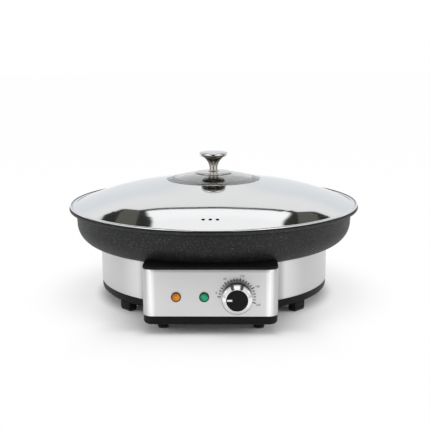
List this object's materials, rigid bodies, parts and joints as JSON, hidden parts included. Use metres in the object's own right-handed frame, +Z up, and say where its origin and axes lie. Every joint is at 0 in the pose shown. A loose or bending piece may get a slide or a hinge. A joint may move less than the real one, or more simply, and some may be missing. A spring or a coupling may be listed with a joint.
{
  "type": "electric party pan",
  "caption": "Round electric frying pan on a steel base with a front control box, thermostat knob, pilot lamps and a polished domed lid with a glass window that lifts off.",
  "frame": {"origin": "on the axis of the pan, at the surface that the rubber foot pads stand on", "axes": "+Z up along the pan's axis, -Y towards the control box and its knob, +X to the right of someone facing the controls"},
  "size_m": [0.4, 0.4173, 0.1966],
  "materials": {
    "lid_steel": "polished pressed stainless steel",
    "window_glass": "clear toughened glass",
    "seal_black": "black silicone",
    "knob_chrome": "turned and polished metal",
    "pan_coating": "cast aluminium with a dark speckled granite-type coating",
    "band_steel": "satin stainless sheet",
    "base_plastic": "black heat-resistant moulding",
    "dial_plastic": "black moulding",
    "dial_bright": "bright plated ring",
    "pointer_white": "white inlay",
    "amber_lens": "clear amber moulding",
    "green_lens": "clear green moulding",
    "plated_steel": "zinc-plated steel",
    "shield_steel": "plain aluminised sheet",
    "element_sheath": "dark annealed tube",
    "ceramic": "ivory ceramic",
    "cutout_black": "black phenolic moulding",
    "thermostat_cream": "cream phenolic moulding",
    "copper": "bare copper",
    "brass": "turned brass",
    "white_nylon": "white nylon moulding",
    "grey_nylon": "grey nylon moulding",
    "gland_plastic": "black nylon moulding",
    "wire_brown": "brown insulation",
    "wire_blue": "blue insulation",
    "wire_earth": "green and yellow insulation",
    "pad_rubber": "soft black rubber"
  },
  "bodies": {
    "base": {"pan": "pan_coating", "base_band": "band_steel", "control_panel": "band_steel", "base_tray": "base_plastic", "deck_ring": "base_plastic", "control_cap": "base_plastic", "ring_feet": "base_plastic", "front_feet": "base_plastic", "power_lamp_lens": "amber_lens", "heating_lamp_lens": "green_lens", "cap_screws": "plated_steel", "clamp_plate": "plated_steel", "clamp_screws": "plated_steel", "tie_studs": "plated_steel", "upper_spacers": "plated_steel", "lower_spacers": "plated_steel", "stud_washers": "plated_steel", "stud_nuts": "plated_steel", "bulb_clips": "plated_steel", "foot_screws": "plated_steel", "thermostat_nut": "plated_steel", "earth_tag": "plated_steel", "heat_shield": "shield_steel", "heating_element": "element_sheath", "element_terminals": "ceramic", "thermal_cutout": "cutout_black", "thermostat_body": "thermostat_cream", "sensor_bulb": "copper", "capillary_tube": "copper", "terminal_screws": "brass", "terminal_block": "white_nylon", "power_lamp_body": "white_nylon", "heating_lamp_body": "white_nylon", "lamp_nuts": "grey_nylon", "cord_gland": "gland_plastic", "gland_nut": "gland_plastic", "live_wires": "wire_brown", "neutral_wires": "wire_blue", "earth_wire": "wire_earth", "foot_pads": "pad_rubber"},
    "lid": {"lid_dome": "lid_steel", "lid_lip": "lid_steel", "lid_glass": "window_glass", "lid_seal": "seal_black", "lid_knob": "knob_chrome", "lid_knob_plate": "knob_chrome", "lid_knob_washer": "plated_steel", "lid_knob_screw": "plated_steel"},
    "dial": {"thermostat_shaft": "brass", "dial_body": "dial_plastic", "dial_ring": "dial_bright", "dial_pointer": "pointer_white"}
  },
  "joints": [
    {"name": "lid_lift", "type": "slide", "parent": "base", "child": "lid", "axis": [0, 0, 1], "range_m": [0, 0.2]},
    {"name": "dial_turn", "type": "hinge", "parent": "base", "child": "dial", "pos_m": [0.032, -0.2009, 0.047], "axis": [0, 1, 0], "range_deg": [0, 200]}
  ]
}
